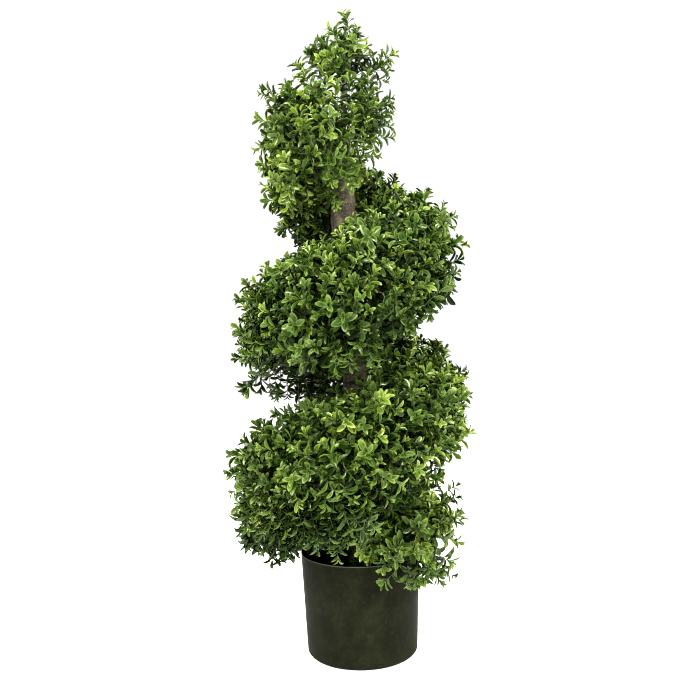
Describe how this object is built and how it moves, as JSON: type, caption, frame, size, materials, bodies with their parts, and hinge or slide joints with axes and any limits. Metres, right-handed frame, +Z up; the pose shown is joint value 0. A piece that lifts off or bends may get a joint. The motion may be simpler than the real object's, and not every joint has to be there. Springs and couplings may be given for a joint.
{
  "type": "artificial spiral topiary",
  "caption": "Potted artificial boxwood topiary whose small-leaved foliage winds down a bark-wrapped pole in one spiral band to a plain round plastic pot.",
  "frame": {"origin": "centre of the pot's flat underside", "axes": "+Z up along the plant, -Y to the side where the pole's cut top shows between two turns of the spiral, +X to its right"},
  "size_m": [0.4211, 0.4082, 1.078],
  "materials": {
    "pot_plastic": "moulded, satin, faintly dusty",
    "filling": "cast weight, dull and dark",
    "bark": "rough mottled bark wrap",
    "stem_plastic": "moulded brown stem",
    "foliage": "moulded leaves with a soft gloss"
  },
  "bodies": {
    "root": {"pot": "pot_plastic", "pot_filling": "filling", "trunk": "bark", "leader": "stem_plastic", "crown_mass": "foliage", "mass_01": "foliage", "mass_02": "foliage", "mass_03": "foliage", "mass_04": "foliage", "mass_05": "foliage", "mass_06": "foliage", "mass_07": "foliage", "mass_08": "foliage", "mass_09": "foliage", "mass_10": "foliage", "mass_11": "foliage", "mass_12": "foliage", "mass_13": "foliage", "mass_14": "foliage", "mass_15": "foliage", "mass_16": "foliage", "mass_17": "foliage", "mass_18": "foliage", "mass_19": "foliage", "mass_20": "foliage", "skirt_17": "foliage", "skirt_18": "foliage", "skirt_19": "foliage", "skirt_20": "foliage", "bough_01": "stem_plastic", "bough_02": "stem_plastic", "bough_03": "stem_plastic", "bough_04": "stem_plastic", "bough_05": "stem_plastic", "bough_06": "stem_plastic", "bough_07": "stem_plastic", "bough_08": "stem_plastic", "bough_09": "stem_plastic", "bough_10": "stem_plastic", "bough_11": "stem_plastic", "bough_12": "stem_plastic", "bough_13": "stem_plastic", "bough_14": "stem_plastic", "bough_15": "stem_plastic", "bough_16": "stem_plastic", "bough_17": "stem_plastic", "bough_18": "stem_plastic", "bough_19": "stem_plastic", "bough_20": "stem_plastic"}
  },
  "joints": []
}
